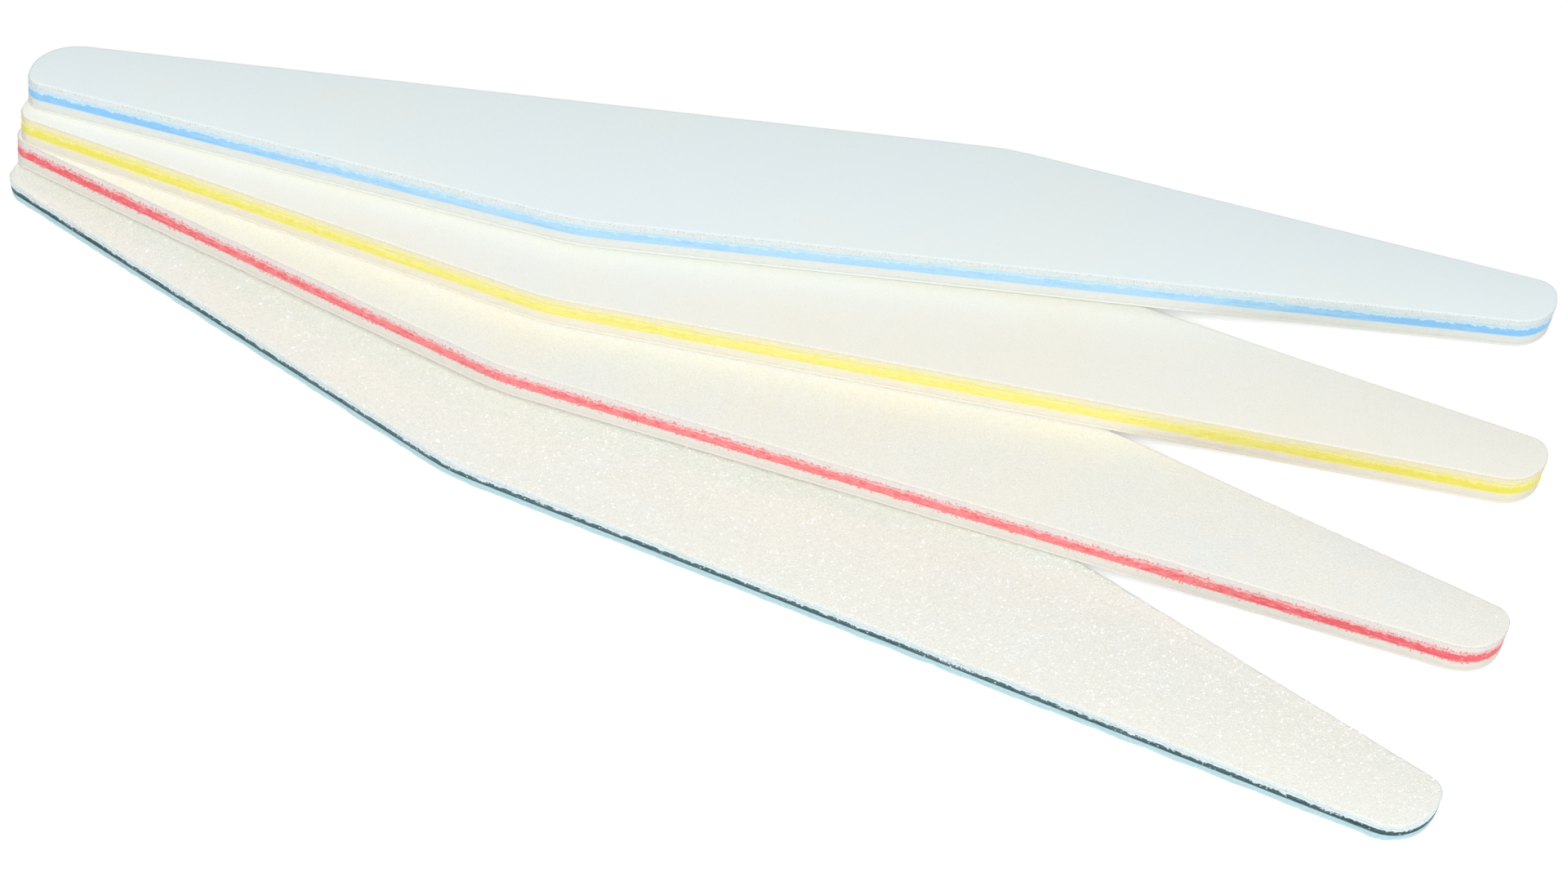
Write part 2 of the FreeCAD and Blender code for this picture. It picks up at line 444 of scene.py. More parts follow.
# The blade wanders over every few millimetres.
sway = add(cut_tree, NOISE, {"Vector": where, "Scale": 330.0, "Detail": 3.0})
sway_deep = add(cut_tree, MAP_RANGE,
                {"Value": sway, "From Min": 0.3, "From Max": 0.7, "To Max": cut_in.outputs["Wander"]})
inwards = add(cut_tree, MATH, {0: pit_deep, 1: sway_deep}, operation="ADD")
freedom = add(cut_tree, "GeometryNodeInputNamedAttribute", {"Name": "cut"})
inwards_free = add(cut_tree, MATH, {0: inwards, 1: freedom}, operation="MULTIPLY")
facing = add(cut_tree, "GeometryNodeInputNormal")
against = add(cut_tree, VECTOR_MATH, {0: facing, 1: cut_in.outputs["Up"]}, operation="DOT_PRODUCT")
against_part = add(cut_tree, VECTOR_MATH, {0: cut_in.outputs["Up"], "Scale": against.outputs["Value"]},
                   operation="SCALE")
outward = add(cut_tree, VECTOR_MATH, {0: facing, 1: against_part}, operation="SUBTRACT")
outward_unit = add(cut_tree, VECTOR_MATH, {0: outward}, operation="NORMALIZE")
back_in = add(cut_tree, MATH, {0: inwards_free, 1: -1.0}, operation="MULTIPLY")
shift = add(cut_tree, VECTOR_MATH, {0: outward_unit, "Scale": back_in}, operation="SCALE")
pitted = add(cut_tree, "GeometryNodeSetPosition",
             {"Geometry": cut_in.outputs["Geometry"], "Offset": shift})
cut_real = add(cut_tree, "GeometryNodeRealizeInstances", {"Geometry": pitted})
cut_done = add(cut_tree, "GeometryNodeSetMaterial",
               {"Geometry": cut_real, "Material": cut_in.outputs["Surface"]})
add(cut_tree, "NodeGroupOutput", {"Geometry": cut_done})


def cut_edge(piece, colour, kind, surface):
    """Roughen the cut edge of a piece of one kind, and give the piece its material."""
    width, height, pit_depth = CUT[kind]
    run_tree(piece, cut_tree, {
        "Cell Width": width * MM, "Cell Height": height * MM, "Pit Depth": pit_depth * MM,
        "Wander": WANDER[colour] * MM, "Up": tuple(buffers[colour]["up"]), "Surface": surface,
    })


print("cut edge tree has", len(cut_tree.nodes), "nodes")

# %% [markdown]
# ## Grit
# Abrasive paper is a sheet with thousands of sharp crystals half sunk in resin. They could be drawn
# as bump, but the coarse ones catch the light one by one and show against the rim, so they are
# modelled. A grain is a small pyramid, four sides and a base, turned and stretched at random. The
# tree scatters grains over the outer face only, and gives each a random number, which the material
# uses to make a few of them glossy and paint them pure white: real gloss and a painted glint. Every
# point is kept under the CAD face, as if the grit were worn.

# %% Geometry Nodes tree that strews grit
OUTER_FROM = 0.8    # a face is an outer one when its normal follows the outer direction this closely

grit_tree = new_tree("strewn_grit", {
    "Grain Width": "Float",
    "Grains per Square Metre": "Float",
    "Outer Direction": "Vector",
    "Face Height": "Float",
    "Seed": "Int",
    "Grain Surface": "Material",
})
grit_in = add(grit_tree, "NodeGroupInput")
sheet_normal = add(grit_tree, "GeometryNodeInputNormal")
faces_out = add(grit_tree, VECTOR_MATH, {0: sheet_normal, 1: grit_in.outputs["Outer Direction"]},
                operation="DOT_PRODUCT")
outer_only = add(grit_tree, "FunctionNodeCompare", {0: faces_out.outputs["Value"], 1: OUTER_FROM},
                 operation="GREATER_THAN")
strewn = add(grit_tree, "GeometryNodeDistributePointsOnFaces",
             {"Mesh": grit_in.outputs["Geometry"], "Selection": outer_only,
              "Density": grit_in.outputs["Grains per Square Metre"], "Seed": grit_in.outputs["Seed"]})
grain = add(grit_tree, "GeometryNodeMeshCone",
            {"Vertices": 4, "Radius Top": 0.0, "Radius Bottom": 0.5, "Depth": 0.7})
# A grain leans by up to 0.7 radians either way and is turned by up to a full turn.
turn = add(grit_tree, "FunctionNodeRandomValue",
           {0: (-0.7, -0.7, 0.0), 1: (0.7, 0.7, 6.3), "Seed": grit_in.outputs["Seed"]},
           data_type="FLOAT_VECTOR")
tip = add(grit_tree, "FunctionNodeRotateRotation", {0: strewn.outputs["Rotation"], 1: turn},
          rotation_space="LOCAL")
stretch = add(grit_tree, "FunctionNodeRandomValue",
              {0: (0.55, 0.55, 0.45), 1: (1.25, 1.25, 1.0), "Seed": 7}, data_type="FLOAT_VECTOR")
chance = add(grit_tree, "FunctionNodeRandomValue", {"Seed": 3})
# The grains that glint are the biggest, because their points break through the white coat.
bigger = add(grit_tree, MAP_RANGE,
             {"Value": chance.outputs[1], "From Min": 0.86, "From Max": 0.96, "To Min": 1.0,
              "To Max": 1.6})
own_width = add(grit_tree, MATH, {0: bigger, 1: grit_in.outputs["Grain Width"]}, operation="MULTIPLY")
grain_size = add(grit_tree, VECTOR_MATH, {0: stretch, "Scale": own_width}, operation="SCALE")
placed = add(grit_tree, "GeometryNodeInstanceOnPoints",
             {"Points": strewn.outputs["Points"], "Instance": grain.outputs["Mesh"], "Rotation": tip,
              "Scale": grain_size})
numbered = add(grit_tree, "GeometryNodeStoreNamedAttribute",
               {"Geometry": placed, "Name": "glint", "Value": chance.outputs[1]}, domain="INSTANCE")
grit_real = add(grit_tree, "GeometryNodeRealizeInstances", {"Geometry": numbered})
# No point may stand above the CAD face, so each one that would is worn down level with it.
grain_point = add(grit_tree, "GeometryNodeInputPosition")
point_height = add(grit_tree, VECTOR_MATH, {0: grain_point, 1: grit_in.outputs["Outer Direction"]},
                   operation="DOT_PRODUCT")
over_face = add(grit_tree, MATH, {0: grit_in.outputs["Face Height"], 1: point_height.outputs["Value"]},
                operation="SUBTRACT")
wear = add(grit_tree, MATH, {0: over_face, 1: 0.0}, operation="MINIMUM")
wear_shift = add(grit_tree, VECTOR_MATH, {0: grit_in.outputs["Outer Direction"], "Scale": wear},
                 operation="SCALE")
grit_worn = add(grit_tree, "GeometryNodeSetPosition", {"Geometry": grit_real, "Offset": wear_shift})
grit_flat = add(grit_tree, "GeometryNodeSetShadeSmooth", {"Geometry": grit_worn, "Shade Smooth": False})
grit_done = add(grit_tree, "GeometryNodeSetMaterial",
                {"Geometry": grit_flat, "Material": grit_in.outputs["Grain Surface"]})
sheet_and_grit = add(grit_tree, "GeometryNodeJoinGeometry")
grit_tree.links.new(grit_in.outputs["Geometry"], sheet_and_grit.inputs[0])
grit_tree.links.new(grit_done.outputs[0], sheet_and_grit.inputs[0])
add(grit_tree, "NodeGroupOutput", {"Geometry": sheet_and_grit})
print("grit tree has", len(grit_tree.nodes), "nodes")

# %% [markdown]
# ## Starting a material
# Patterns have to follow each buffer, not the table, so every material begins the same way: object
# coordinates go through a Mapping node that turns them into millimetres along, across and up through
# that one buffer. Height above the underside is then simply Z, which is what the dye needs later.

# %% Start of every material
def start_material(name, colour, settings):
    """A Principled material, and its coordinates in millimetres on one buffer's own axes."""
    axes = buffers[colour]
    material = bpy.data.materials.new(name)
    material.use_nodes = True
    tree = material.node_tree
    tree.nodes.clear()
    to_axes = Matrix((axes["along"], axes["across"], axes["up"]))
    shader = add(tree, "ShaderNodeBsdfPrincipled", settings)
    add(tree, "ShaderNodeOutputMaterial", {"Surface": shader})
    coordinates = add(tree, "ShaderNodeTexCoord")
    local = add(tree, "ShaderNodeMapping",
                {"Vector": coordinates.outputs["Object"],
                 "Location": -(to_axes @ Vector(axes["origin"])) / MM,
                 "Rotation": to_axes.to_euler("XYZ"), "Scale": (1 / MM, 1 / MM, 1 / MM)})
    return material, shader, local


print("axes ready for", sorted(buffers), "with", MM, "m to a unit")

# %% [markdown]
# ## Die-cut foam
# The pads are soft EVA foam, cream or faintly tinted by the dye beside them. Freshly cut foam is
# matt and a little see-through at its cell walls, so light goes into it and comes out softer: that is
# subsurface scattering over about half a millimetre. Open cells are painted darker inside, a painted
# shade in each pit, and their rims keep the lighter tone. Next to the core board the foam takes the
# board's colour: a lot of yellow, a thin line of blue, and a dusting of red. The blue and red are dye
# that the blade dragged over the foam. The yellow's long soft fade is partly that dye and partly a
# painted glow, the yellow board's light shining up through the foam. The edge of this tint is wavy,
# so its reach is a noise along the cut.

# %% Foam material
FOAM = {
    # lower foam, upper foam and the painted shade inside open cells, and the share of cells left shut;
    # then the dye, which on the yellow is also a painted glow, and, in mm, how far it reaches over the
    # foam above and below the board, how much that reach waves, how soft its end is, and its grain
    "blue": {"lower": "E0E3DF", "upper": "DDE6E7", "cell": "BEC5C4", "shut": 0.35, "dye": "C9E7F6",
             "up": 0.32, "down": 0.12, "wave": 0.18, "soft": 0.20, "grain": 0.10},
    "yellow": {"lower": "E9E4D5", "upper": "EBE7D3", "cell": "DAD5BD", "shut": 0.55, "dye": "F2EB9E",
               "up": 0.58, "down": 0.12, "wave": 0.34, "soft": 1.25, "grain": 0.12},
    "red": {"lower": "E6E1D8", "upper": "E9E2DD", "cell": "CFC8C3", "shut": 0.45, "dye": "F29496",
            "up": 0.15, "down": 0.08, "wave": 0.12, "soft": 0.12, "grain": 0.50},
    "black": {"lower": "C1DDE3", "upper": "DDE9EA", "cell": "BCD0D4", "shut": 0.50, "dye": "86A6AC",
              "up": -0.02, "down": 0.01, "wave": 0.10, "soft": 0.06, "grain": 0.30},
}
SHUT_AT_CUTTING_BOARD = 0.88    # the board under the die irons the lower pad's cells nearly shut


def foam_material(colour, side):
    """Foam of one pad: painted shade in its open cells, and dye from the board, on the yellow also a
    painted glow.
    """
    look = FOAM[colour]
    board = layer_heights(colour, "core_board")
    material, shader, local = start_material(f"eva_foam_die_cut_{colour}_{side}", colour, {
        "Roughness": 0.85, "Specular IOR Level": 0.25, "Subsurface Weight": 0.25,
        "Subsurface Radius": (1.0, 0.9, 0.8), "Subsurface Scale": 0.4 * MM,
    })
    tree = material.node_tree
    # Open cells are painted darker inside: a painted shade in each pit, on top of the real pits that
    # the cut tree makes.
    cells = add(tree, VORONOI, {"Vector": local, "Scale": 1.0 / CUT["foam"][0]})
    pores = add(tree, MAP_RANGE,
                {"Value": cells.outputs["Distance"], "From Min": 0.16, "From Max": 0.42}, **SMOOTH)
    patches = add(tree, NOISE, {"Vector": local, "Scale": 0.9, "Detail": 3.0})
    shut = look["shut"] if side == "upper" else SHUT_AT_CUTTING_BOARD
    closed = add(tree, MAP_RANGE,
                 {"Value": patches, "From Min": 0.42, "From Max": 0.70, "To Min": shut})
    outside_painted_pore_shade = add(tree, MATH, {0: pores, 1: closed}, operation="MAXIMUM")
    foam_with_painted_pore_shade = add(tree, MIX, {0: outside_painted_pore_shade, 6: linear(look["cell"]), 7: linear(look[side])},
                data_type="RGBA")
    # Height away from the board, in mm, whichever side of it this pad is on.
    split = add(tree, "ShaderNodeSeparateXYZ", {0: local})
    if side == "upper":
        away = add(tree, MATH, {0: split.outputs["Z"], 1: board[1]}, operation="SUBTRACT")
        reach = look["up"]
    else:
        away = add(tree, MATH, {0: board[0], 1: split.outputs["Z"]}, operation="SUBTRACT")
        reach = look["down"]
    # A slow noise along the cut sets how far the tint reaches, and a fine one frays its end.
    flat = add(tree, VECTOR_MATH, {0: local, 1: (1.0, 1.0, 0.25)}, operation="MULTIPLY")
    waves = add(tree, NOISE, {"Vector": flat, "Scale": 0.16, "Detail": 4.0, "Roughness": 0.6})
    reach_here = add(tree, MAP_RANGE,
                     {"Value": waves, "From Min": 0.3, "From Max": 0.7, "To Min": reach - look["wave"],
                      "To Max": reach + look["wave"]})
    grains = add(tree, NOISE, {"Vector": local, "Scale": 3.6, "Detail": 4.0})
    speckle = add(tree, MAP_RANGE,
                  {"Value": grains, "From Min": 0.3, "From Max": 0.7, "To Min": -look["grain"],
                   "To Max": look["grain"]})
    reach_rough = add(tree, MATH, {0: reach_here, 1: speckle}, operation="ADD")
    left = add(tree, MATH, {0: reach_rough, 1: away}, operation="SUBTRACT")
    soft = look["soft"] / 2
    # On the yellow this tint is partly a painted glow of the board's colour through the foam.
    dyed = add(tree, MAP_RANGE, {"Value": left, "From Min": -soft, "From Max": soft}, **SMOOTH)
    colour_mix = add(tree, MIX, {0: dyed, 6: foam_with_painted_pore_shade.outputs[2], 7: linear(look["dye"])},
                     data_type="RGBA")
    tree.links.new(colour_mix.outputs[2], shader.inputs["Base Color"])
    fine = add(tree, NOISE, {"Vector": local, "Scale": 9.0, "Detail": 3.0})
    bump = add(tree, "ShaderNodeBump", {"Strength": 0.35, "Distance": 0.05 * MM, "Height": fine})
    tree.links.new(bump.outputs[0], shader.inputs["Normal"])
    return material


foam_finish = {(colour, side): foam_material(colour, side)
               for colour in COLOURS for side in ("lower", "upper")}
print("foam materials:", len(foam_finish))

# %% [markdown]
# ## Foam pads
# A pad is a profile with many rows, so that the tree has points to push in. Foam springs back a
# little after the cut, so the wall is drawn in very slightly at its two glued edges. The pads stand
# for the plain CAD solids, which stay, hidden, for collision.

# %% Make the foam pads
FOAM_ROWS = 7
DRAWN_IN = 0.03    # mm at the glued edges
made_pieces = []
for colour in COLOURS:
    for side in ("lower", "upper"):
        bottom, top = layer_heights(colour, f"{side}_foam_pad")
        profile = []
        for row in range(FOAM_ROWS):
            share = row / (FOAM_ROWS - 1)
            drawn_in = DRAWN_IN * (2 * share - 1) ** 2
            profile.append((drawn_in, bottom + share * (top - bottom)))
        pad = make_layer(f"{colour}_{side}_foam", colour, profile, range(FOAM_ROWS))
        cut_edge(pad, colour, "foam", foam_finish[colour, side])
        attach(pad, f"{colour}_core_file")
        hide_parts(f"{colour}_{side}_foam_pad")
        made_pieces.append(pad)
print("foam pads:", len(made_pieces), "faces in one:", len(made_pieces[-1].data.polygons))

# %% [markdown]
# ## Core board
# The board is dyed polystyrene, die-cut with the rest. Its edge isn't one colour: where the blade
# pressed hard the plastic is burnished and deep, and where it tore the plastic turns pale, as bent
# plastic does. Both run in streaks along the cut with a ragged upper border. The two ends are deeper
# in colour than the long sides, which are painted paler towards their middle: a painted glare, the
# light washing out the middle of the edge.

# %% Core board material
BOARD = {
    # deep and pale tone of the dye, tone where it tore, strength of the blade marks; then, in mm, how
    # deep it is torn and how soft that border is; strength of the pale crumbs, and roughness
    "blue": {"deep": "8AC6F4", "pale": "B4DBF4", "torn": "CBE7F6", "marks": 0.15, "tear": 0.36,
             "soft": 0.14, "crumbs": 0.2, "roughness": 0.42},
    "yellow": {"deep": "EBE25A", "pale": "F2EB89", "torn": "F3ECA0", "marks": 0.34, "tear": 0.46,
               "soft": 0.60, "crumbs": 0.2, "roughness": 0.45},
    "red": {"deep": "E9636B", "pale": "F58E90", "torn": "F4BDBC", "marks": 0.60, "tear": 0.34,
            "soft": 0.08, "crumbs": 0.7, "roughness": 0.50},
    "black": {"deep": "284A51", "pale": "3E666D", "torn": "DCE8E9", "marks": 0.60, "tear": 0.56,
              "soft": 0.08, "crumbs": 1.0, "roughness": 0.50},
}
TEAR_OVER = 0.12    # mm, how far over the board's top the border of the torn plastic rises at most


def board_material(colour):
    """Dyed board with burnished and torn streaks, deeper at the two tips and paler mid-way by painted
    glare.
    """
    look = BOARD[colour]
    top = layer_heights(colour, "core_board")[1]
    material, shader, local = start_material(f"polystyrene_dyed_die_cut_{colour}", colour, {
        "Roughness": look["roughness"], "Specular IOR Level": 0.4, "Subsurface Weight": 0.15,
        "Subsurface Radius": (1.0, 1.0, 1.0), "Subsurface Scale": 0.3 * MM,
    })
    tree = material.node_tree
    split = add(tree, "ShaderNodeSeparateXYZ", {0: local})
    long_streaks = add(tree, VECTOR_MATH, {0: local, 1: (0.16, 0.16, 1.6)}, operation="MULTIPLY")
    streaks = add(tree, NOISE, {"Vector": long_streaks, "Scale": 1.0, "Detail": 5.0, "Roughness": 0.6})
    # The long sides are paler mid-way and deeper towards the tips: painted glare that washes the middle
    # out.
    distance = add(tree, MATH, {0: split.outputs["X"]}, operation="ABSOLUTE")
    tips_out_of_painted_glare = add(tree, MAP_RANGE,
                  {"Value": distance, "From Min": 35.0, "From Max": 88.0, "To Max": 0.45}, **SMOOTH)
    streaks_and_painted_glare = add(tree, MATH, {0: streaks, 1: tips_out_of_painted_glare}, operation="ADD")
    # Short dashes, one or two millimetres long, where the blade's serration dragged.
    dash_space = add(tree, VECTOR_MATH, {0: local, 1: (1.0, 1.0, 4.5)}, operation="MULTIPLY")
    dashes = add(tree, NOISE, {"Vector": dash_space, "Scale": 1.0, "Detail": 4.0, "Roughness": 0.7})
    dash_part = add(tree, MAP_RANGE,
                    {"Value": dashes, "From Min": 0.3, "From Max": 0.7, "To Min": -look["marks"],
                     "To Max": look["marks"]})
    both = add(tree, MATH, {0: streaks_and_painted_glare, 1: dash_part}, operation="ADD")
    deep_share_with_painted_glare = add(tree, MAP_RANGE, {"Value": both, "From Min": 0.38, "From Max": 1.0}, **SMOOTH)
    dye = add(tree, MIX, {0: deep_share_with_painted_glare, 6: linear(look["pale"]), 7: linear(look["deep"])},
              data_type="RGBA")
    # The ragged border between the dyed plastic and the torn, pale plastic above it.
    ragged = add(tree, NOISE, {"Vector": local, "Scale": 1.3, "Detail": 6.0, "Roughness": 0.80})
    border = add(tree, MAP_RANGE,
                 {"Value": ragged, "From Min": 0.4, "From Max": 0.6, "To Min": top - look["tear"],
                  "To Max": top + TEAR_OVER})
    above = add(tree, MATH, {0: split.outputs["Z"], 1: border}, operation="SUBTRACT")
    soft = look["soft"] / 2
    torn = add(tree, MAP_RANGE, {"Value": above, "From Min": -soft, "From Max": soft}, **SMOOTH)
    # Crumbs a fifth of a millimetre wide, where the plastic broke out instead of shearing.
    crumbs = add(tree, VORONOI, {"Vector": local, "Scale": 1.5})
    crumb = add(tree, MAP_RANGE,
                {"Value": crumbs.outputs["Distance"], "From Min": 0.20, "From Max": 0.13,
                 "To Max": look["crumbs"]}, **SMOOTH)
    pale_spots = add(tree, MATH, {0: torn, 1: crumb}, operation="MAXIMUM")
    edge = add(tree, MIX, {0: pale_spots, 6: dye.outputs[2], 7: linear(look["torn"])}, data_type="RGBA")
    tree.links.new(edge.outputs[2], shader.inputs["Base Color"])
    # Scores from face to face, a seventh of a millimetre apart.
    scores = add(tree, VECTOR_MATH, {0: local, 1: (7.0, 7.0, 0.8)}, operation="MULTIPLY")
    score_noise = add(tree, NOISE, {"Vector": scores, "Scale": 1.0, "Detail": 3.0})
    bump = add(tree, "ShaderNodeBump", {"Strength": 0.5, "Distance": 0.05 * MM, "Height": score_noise})
    tree.links.new(bump.outputs[0], shader.inputs["Normal"])
    return material


board_finish = {colour: board_material(colour) for colour in COLOURS}
print("board materials:", sorted(m.name for m in board_finish.values()))

# %% [markdown]
# ## Make the core boards
# The board gets the same tree as the foam, with cells drawn out tall: they become the scores that
# the blade leaves from face to face. The CAD board would be right in shape, but its cut edge is
# perfectly smooth, and under grazing light that is the first thing that looks false.

# %% Core boards
BOARD_ROWS = 7
for colour in COLOURS:
    bottom, top = layer_heights(colour, "core_board")
    profile = [(0.0, bottom + (top - bottom) * row / (BOARD_ROWS - 1)) for row in range(BOARD_ROWS)]
    board = make_layer(f"{colour}_core_board_cut", colour, profile, range(BOARD_ROWS))
    cut_edge(board, colour, "board", board_finish[colour])
    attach(board, f"{colour}_core_file")
    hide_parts(f"{colour}_core_board")
    made_pieces.append(board)
print("pieces so far:", len(made_pieces))

# %% [markdown]
# ## Glue films
# The layers are held by transfer adhesive, a clear acrylic film thinner than a hair. At the cut it
# shows as a faint milky line that takes the colour of what is next to it. The CAD films already have
# the right shape, so they stay and only get a material: the tone of the foam, or of the board beside
# them and torn above it, but glossier and with the small gaps and strings that tacky glue leaves.

# %% Glue material on the CAD films
CLEAR, MILKY = 0.85, 0.13    # share of the tone that stays in a milky string, and the white added


def glue_material(colour, side, place):
    """Transfer adhesive beside the face sheet or beside the core board."""
    near_board = BOARD[colour]["torn"] if side == "upper" else BOARD[colour]["pale"]
    near_face = FOAM[colour][side]
    material, shader, local = start_material(f"acrylic_adhesive_film_{colour}_{side}_{place}", colour, {
        "Roughness": 0.30, "Specular IOR Level": 0.5, "IOR": 1.47,
    })
    tree = material.node_tree
    strings = add(tree, NOISE, {"Vector": local, "Scale": 1.8, "Detail": 4.0, "Roughness": 0.6})
    strands = add(tree, MAP_RANGE, {"Value": strings, "From Min": 0.35, "From Max": 0.65})
    base = linear(near_board if place == "core" else near_face)
    milky = tuple(CLEAR * c + MILKY for c in base[:3]) + (1.0,)
    blend = add(tree, MIX, {0: strands, 6: base, 7: milky}, data_type="RGBA")
    tree.links.new(blend.outputs[2], shader.inputs["Base Color"])
    bump = add(tree, "ShaderNodeBump", {"Strength": 0.3, "Distance": 0.03 * MM, "Height": strings})
    tree.links.new(bump.outputs[0], shader.inputs["Normal"])
    return material


for colour in COLOURS:
    for side in ("lower", "upper"):
        for place in ("face", "core"):
            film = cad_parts[f"{colour}_{side}_{place}_film"]
            film.data.materials.clear()
            film.data.materials.append(glue_material(colour, side, place))
print("glue films dressed:", 4 * len(COLOURS))

# %% [markdown]
# ## Abrasive face
# The sheet is paper coated with aluminium oxide in resin, then with zinc stearate, a white soap that
# keeps dust from clogging it. That top coat is why all four faces are nearly white. It lies unevenly,
# so the white drifts between warm and cool over a centimetre or two. Under it the grit still shows:
# coarse on the black-cored buffer, finer on red and yellow, and a polishing grade on blue that looks
# smooth. Real 100 grit is about 0.15 mm, 180 grit 0.08 mm and a polishing grade under 0.04 mm. The
# grains are drawn larger than life on all four, as real ones would hardly show at this distance.

# %% Abrasive materials
FACE = {
    # main tone, warm and cool drift and its waves per mm, tone between grains, tone of the rolled
    # rim above and of the sharp rim below, width of the fine grain in mm, and the strength of its
    # bump and of its speckle
    "blue": {"main": "F1FCFD", "warm": "F3FCFA", "cool": "F1FBFF", "drift": 0.05, "dark": "E4EFF1",
             "rim": "DAE2E3", "back_rim": "E6E8E1", "grain": 0.16, "bump": 0.10, "speckle": 0.15},
    "yellow": {"main": "FCFBF1", "warm": "FDFAEE", "cool": "F9FBF4", "drift": 0.05, "dark": "EDEBDF",
               "rim": "E3DDBC", "back_rim": "ECE7D8", "grain": 0.18, "bump": 0.18, "speckle": 0.25},
    "red": {"main": "FAF9F1", "warm": "FBF8ED", "cool": "F6F8F3", "drift": 0.09, "dark": "E7E5DA",
            "rim": "E1D9D1", "back_rim": "EAE5DC", "grain": 0.20, "bump": 0.30, "speckle": 0.32},
    "black": {"main": "EEEEE6", "warm": "F0EFE6", "cool": "EDEFE9", "drift": 0.12, "dark": "D8D8CE",
              "rim": "E1E9E8", "back_rim": "B9D6DC", "grain": 0.26, "bump": 0.38, "speckle": 0.28},
}
GRIT = {
    # grain width in mm, grains per square mm, how far their tips stand out in mm, seed
    "blue": (0.07, 2.0, 0.01, 35),
    "yellow": (0.11, 5.0, 0.015, 25),
    "red": (0.14, 7.0, 0.025, 15),
    "black": (0.24, 7.5, 0.06, 5),
}
FLAT_WITHIN = 0.01    # mm, for telling a sheet's flat face from its rim


def face_material(colour):
    """Stearate-coated abrasive paper of one grade."""
    look = FACE[colour]
    material, shader, local = start_material(f"stearate_coated_abrasive_paper_{colour}", colour, {
        "Roughness": 0.72, "Specular IOR Level": 0.35,
    })
    tree = material.node_tree
    drift = add(tree, NOISE, {"Vector": local, "Scale": look["drift"], "Detail": 4.0, "Roughness": 0.6})
    to_warm = add(tree, MAP_RANGE, {"Value": drift, "From Min": 0.48, "From Max": 0.68}, **SMOOTH)
    to_cool = add(tree, MAP_RANGE, {"Value": drift, "From Min": 0.52, "From Max": 0.32}, **SMOOTH)
    warm = add(tree, MIX, {0: to_warm, 6: linear(look["main"]), 7: linear(look["warm"])},
               data_type="RGBA")
    tone = add(tree, MIX, {0: to_cool, 6: warm.outputs[2], 7: linear(look["cool"])}, data_type="RGBA")
    grains = add(tree, VORONOI, {"Vector": local, "Scale": 1.0 / look["grain"]})
    between = add(tree, MAP_RANGE,
                  {"Value": grains.outputs["Distance"], "From Min": 0.35, "From Max": 0.85,
                   "To Max": look["speckle"]}, **SMOOTH)
    speckled = add(tree, MIX, {0: between, 6: tone.outputs[2], 7: linear(look["dark"])},
                   data_type="RGBA")
    # Where the sheet rolls over, the coat is cracked off and the paper's cut fibres show.
    board = layer_heights(colour, "core_board")
    stand = GRIT[colour][2]
    upper_face = layer_heights(colour, "upper_abrasive_sheet")[1] - stand
    lower_face = layer_heights(colour, "lower_abrasive_sheet")[0] + stand
    split = add(tree, "ShaderNodeSeparateXYZ", {0: local})
    depth = add(tree, MATH, {0: upper_face, 1: split.outputs["Z"]}, operation="SUBTRACT")
    fibres = add(tree, NOISE, {"Vector": local, "Scale": 5.0, "Detail": 2.0})
    depth_rough = add(tree, MATH, {0: fibres, 1: -0.12, 2: depth}, operation="MULTIPLY_ADD")
    over = add(tree, MAP_RANGE, {"Value": depth_rough, "From Min": -0.05, "From Max": 0.06}, **SMOOTH)
    specks = add(tree, VORONOI, {"Vector": local, "Scale": 3.9})
    speck = add(tree, MAP_RANGE,
                {"Value": specks.outputs["Distance"], "From Min": 0.16, "From Max": 0.42}, **SMOOTH)
    rim_tone = add(tree, MIX, {0: speck, 6: linear(FOAM[colour]["cell"]), 7: linear(look["rim"])},
                   data_type="RGBA")
    above = add(tree, MIX, {0: over, 6: speckled.outputs[2], 7: rim_tone.outputs[2]}, data_type="RGBA")
    inside = add(tree, MATH, {0: split.outputs["Z"], 1: lower_face + FLAT_WITHIN},
                 operation="GREATER_THAN")
    below = add(tree, MIX, {0: inside, 6: speckled.outputs[2], 7: linear(look["back_rim"])},
                data_type="RGBA")
    is_upper = add(tree, MATH, {0: split.outputs["Z"], 1: board[0]}, operation="GREATER_THAN")
    finished = add(tree, MIX, {0: is_upper, 6: below.outputs[2], 7: above.outputs[2]}, data_type="RGBA")
    tree.links.new(finished.outputs[2], shader.inputs["Base Color"])
    upside = add(tree, MATH, {0: grains.outputs["Distance"], 1: -1.0}, operation="MULTIPLY")
    bump = add(tree, "ShaderNodeBump",
               {"Strength": look["bump"], "Distance": 0.08 * MM, "Height": upside})
    tree.links.new(bump.outputs[0], shader.inputs["Normal"])
    return material


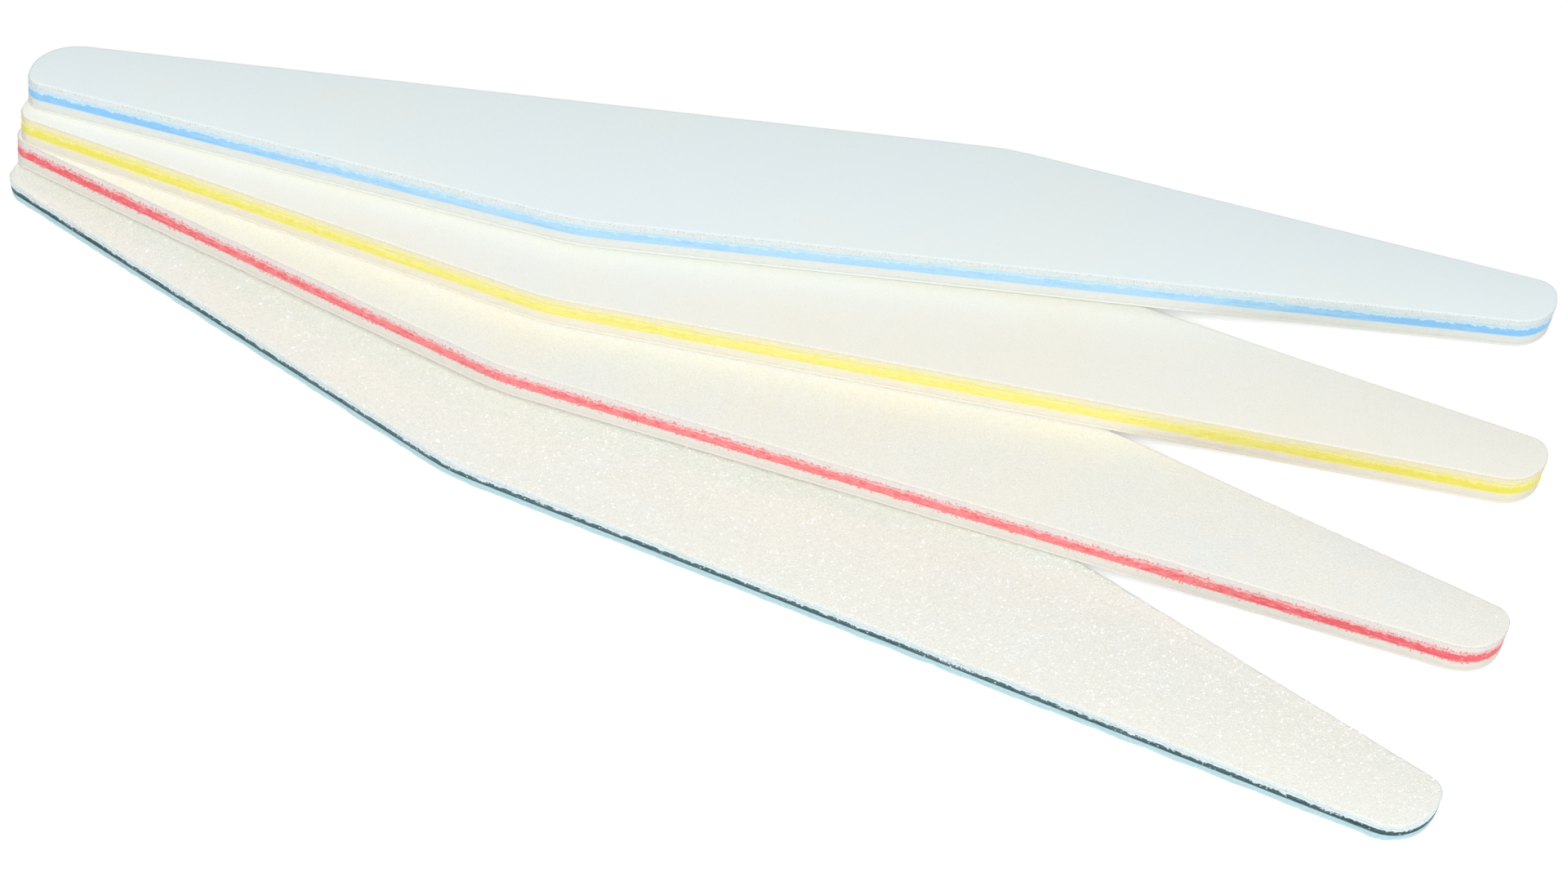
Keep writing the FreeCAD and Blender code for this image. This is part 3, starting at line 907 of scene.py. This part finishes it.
def grain_material(colour):
    """Crystals in their coat. Each has a random number; those with the highest are glossier and painted
    pure white, a painted glint.
    """
    look = FACE[colour]
    material, shader, local = start_material(f"aluminium_oxide_grain_{colour}", colour, {
        "Specular IOR Level": 0.5, "IOR": 1.76,
    })
    tree = material.node_tree
    number = add(tree, "ShaderNodeAttribute", attribute_name="glint")
    glint_share = add(tree, MAP_RANGE, {"Value": number.outputs["Fac"], "From Min": 0.84, "From Max": 0.90},
               **SMOOTH)
    drift = add(tree, NOISE, {"Vector": local, "Scale": look["drift"], "Detail": 4.0, "Roughness": 0.6})
    coat = add(tree, MIX, {0: drift, 6: linear(look["cool"]), 7: linear(look["warm"])},
               data_type="RGBA")
    # The glinting grains are painted pure white as well as made glossy: a painted glint.
    tone = add(tree, MIX, {0: glint_share, 6: coat.outputs[2], 7: linear("FFFFFF")}, data_type="RGBA")
    polish = add(tree, MAP_RANGE, {"Value": glint_share, "To Min": 0.65, "To Max": 0.12})
    tree.links.new(tone.outputs[2], shader.inputs["Base Color"])
    tree.links.new(polish.outputs[0], shader.inputs["Roughness"])
    return material


face_finish = {colour: face_material(colour) for colour in COLOURS}
grain_finish = {colour: grain_material(colour) for colour in COLOURS}
print("abrasive materials:", len(face_finish) + len(grain_finish))

# %% [markdown]
# ## Abrasive sheets
# The die pushes the rim of the upper sheet down and rolls it over. The lower sheet lies against the
# cutting board and keeps a sharper rim. Two profiles follow the two rims, as pairs of inset and drop
# in millimetres. The paper's edge wanders with the foam under it. The grains stand a few hundredths
# of a millimetre proud of the coat, so the sheet itself is set that much lower and the grain tips end
# where the CAD face is: buffers still just touch, and nothing grows.

# %% Make the abrasive sheets
UPPER_RIM = [(0.0, 0.26), (0.015, 0.17), (0.05, 0.10), (0.11, 0.05), (0.22, 0.02), (0.40, 0.0)]
LOWER_RIM = [(0.0, 0.045), (0.0, 0.030), (0.010, 0.008), (0.03, 0.0)]
RIM_SHEET = 0.30    # mm, the thickness of sheet that both rims are drawn for
GRAIN_FACES = 5

grain_total = 0
for colour in COLOURS:
    width, density, stand, seed = GRIT[colour]
    for side in ("lower", "upper"):
        bottom, top = layer_heights(colour, f"{side}_abrasive_sheet")
        thickness = top - bottom - stand
        rim = UPPER_RIM if side == "upper" else reversed(LOWER_RIM)
        roll = [(inset, drop * thickness / RIM_SHEET) for inset, drop in rim]
        if side == "upper":
            profile = [(0.0, bottom)] + [(inset, top - stand - drop) for inset, drop in roll]
            outer = buffers[colour]["up"]
            cut_rows = range(len(profile) - 1)
            face_height = outer @ buffers[colour]["origin"] + top * MM
        else:
            profile = [(inset, bottom + stand + drop) for inset, drop in roll] + [(0.0, top)]
            outer = -buffers[colour]["up"]
            cut_rows = range(len(profile))
            face_height = outer @ buffers[colour]["origin"] - bottom * MM
        sheet = make_layer(f"{colour}_{side}_abrasive", colour, profile, cut_rows)
        cut_edge(sheet, colour, "sheet", face_finish[colour])
        plain_faces = len(sheet.data.polygons)
        run_tree(sheet, grit_tree, {
            "Grain Width": width * MM, "Grains per Square Metre": density / MM ** 2,
            "Outer Direction": tuple(outer), "Face Height": float(face_height),
            "Seed": seed, "Grain Surface": grain_finish[colour],
        })
        grains = (len(sheet.data.polygons) - plain_faces) // GRAIN_FACES
        grain_total += grains
        print(sheet.name, "grains", grains)
        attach(sheet, f"{colour}_core_file")
        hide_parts(f"{colour}_{side}_abrasive_sheet")
        made_pieces.append(sheet)
print("pieces made:", len(made_pieces), "grains in all:", grain_total)

# %% [markdown]
# ## Sizes
# Surface detail must not change the object's size. The box of the CAD model and the box of what now
# shows are written side by side, so that a wrong piece is found at once.

# %% Write both boxes
visual_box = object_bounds()
for label, box in (("CAD", cad_box), ("visual", visual_box)):
    print(label, "box in mm:", [[round(x / MM, 2) for x in corner] for corner in box])
